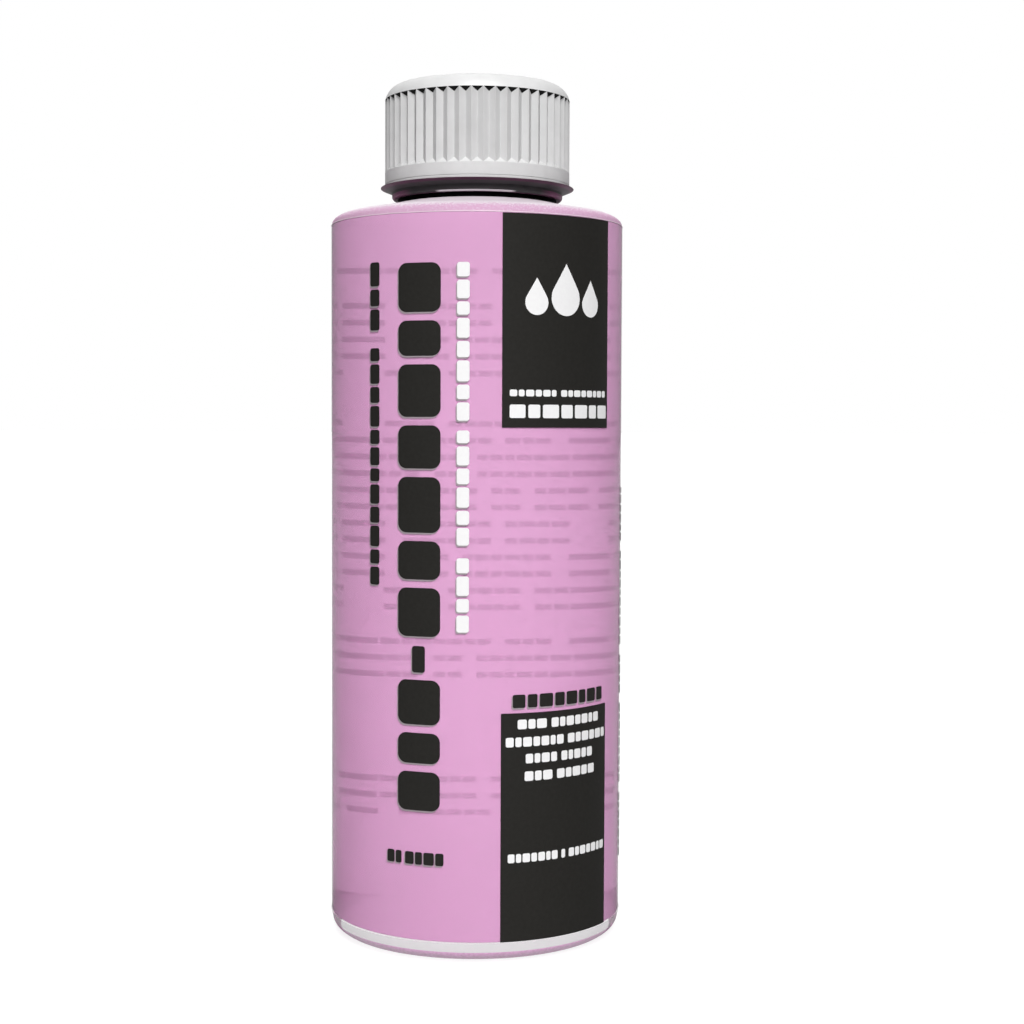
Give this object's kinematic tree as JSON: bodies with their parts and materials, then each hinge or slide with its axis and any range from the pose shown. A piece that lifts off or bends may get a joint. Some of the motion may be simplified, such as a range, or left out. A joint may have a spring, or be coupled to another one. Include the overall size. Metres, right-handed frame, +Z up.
{
  "type": "nail polish remover bottle",
  "caption": "Round clear bottle of pink liquid with a wrap label, a pour insert in its neck and a ribbed white screw cap with a sealing liner.",
  "frame": {"origin": "centre of the bottle's foot, on the surface that it stands on", "axes": "+Z up along the bottle's axis, the label's front faces -Y and the label's seam is on the +X side, a little towards the back"},
  "size_m": [0.042, 0.042, 0.1214],
  "materials": {
    "clear_pet": "polished",
    "pink_liquid": "polished",
    "label_film": "satin",
    "natural_pe": "satin",
    "white_pp": "satin",
    "liner_foam": "matte"
  },
  "bodies": {
    "bottle_body": {"bottle": "clear_pet", "liquid_fill": "pink_liquid", "label": "label_film", "pour_insert": "natural_pe"},
    "liner_body": {"cap_liner": "liner_foam"},
    "cap_body": {"cap": "white_pp"}
  },
  "joints": [
    {"name": "cap_lift", "type": "slide", "parent": "bottle_body", "child": "liner_body", "axis": [0, 0, 1], "range_m": [0, 0.016]},
    {"name": "cap_turn", "type": "hinge", "parent": "liner_body", "child": "cap_body", "pos_m": [0, 0, 0.10764], "axis": [0, 0, 1], "range_deg": [0, 1800]}
  ],
  "couplings": [
    {"joint": "cap_lift", "follows": "cap_turn", "m_per_rad": 0.00050532}
  ]
}
